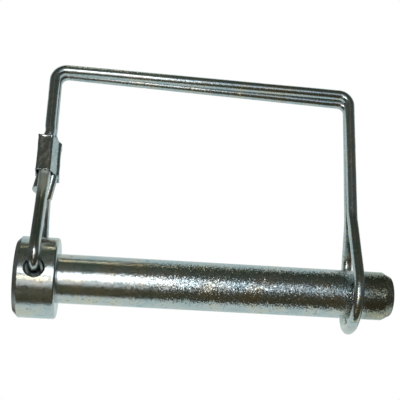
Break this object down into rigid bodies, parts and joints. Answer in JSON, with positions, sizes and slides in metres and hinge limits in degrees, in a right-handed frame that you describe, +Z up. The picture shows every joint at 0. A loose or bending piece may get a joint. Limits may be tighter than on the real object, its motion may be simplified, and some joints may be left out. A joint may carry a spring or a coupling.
{
  "type": "hitch pin lock",
  "caption": "Headed hitch pin with a hinged square wire bail whose end loop snaps over the pin's tip to lock it.",
  "frame": {"origin": "on the pin's axis, at the shoulder under the head", "axes": "+X along the pin from the shoulder to the tip; +Y towards the bail's rail; +Z up, with the pin lying on its side and the bail leaning down to the surface"},
  "size_m": [0.0736, 0.0528, 0.0207],
  "materials": {
    "plated_pin": "bright zinc plate over turned steel",
    "plated_wire": "bright zinc plate over drawn spring wire",
    "plated_ferrule": "bright zinc plate, crimped"
  },
  "bodies": {
    "pin": {"pin_body": "plated_pin"},
    "bail": {"hinge_wire": "plated_wire", "crimp_ferrule": "plated_ferrule", "bail_strand_front": "plated_wire", "bail_strand_back": "plated_wire"},
    "eye_leg": {"bail_eye_leg": "plated_wire"}
  },
  "joints": [
    {"name": "bail_swing", "type": "hinge", "parent": "pin", "child": "bail", "pos_m": [-0.0041, 0, 0], "axis": [0, 0.1962, 0.9806], "range_deg": [0, 240]},
    {"name": "eye_flex", "type": "hinge", "parent": "bail", "child": "eye_leg", "pos_m": [0.05931, 0.03863, -0.00773], "axis": [0, 0.1962, 0.9806], "range_deg": [0, 14], "stiffness_Nm_per_rad": 0.6}
  ]
}
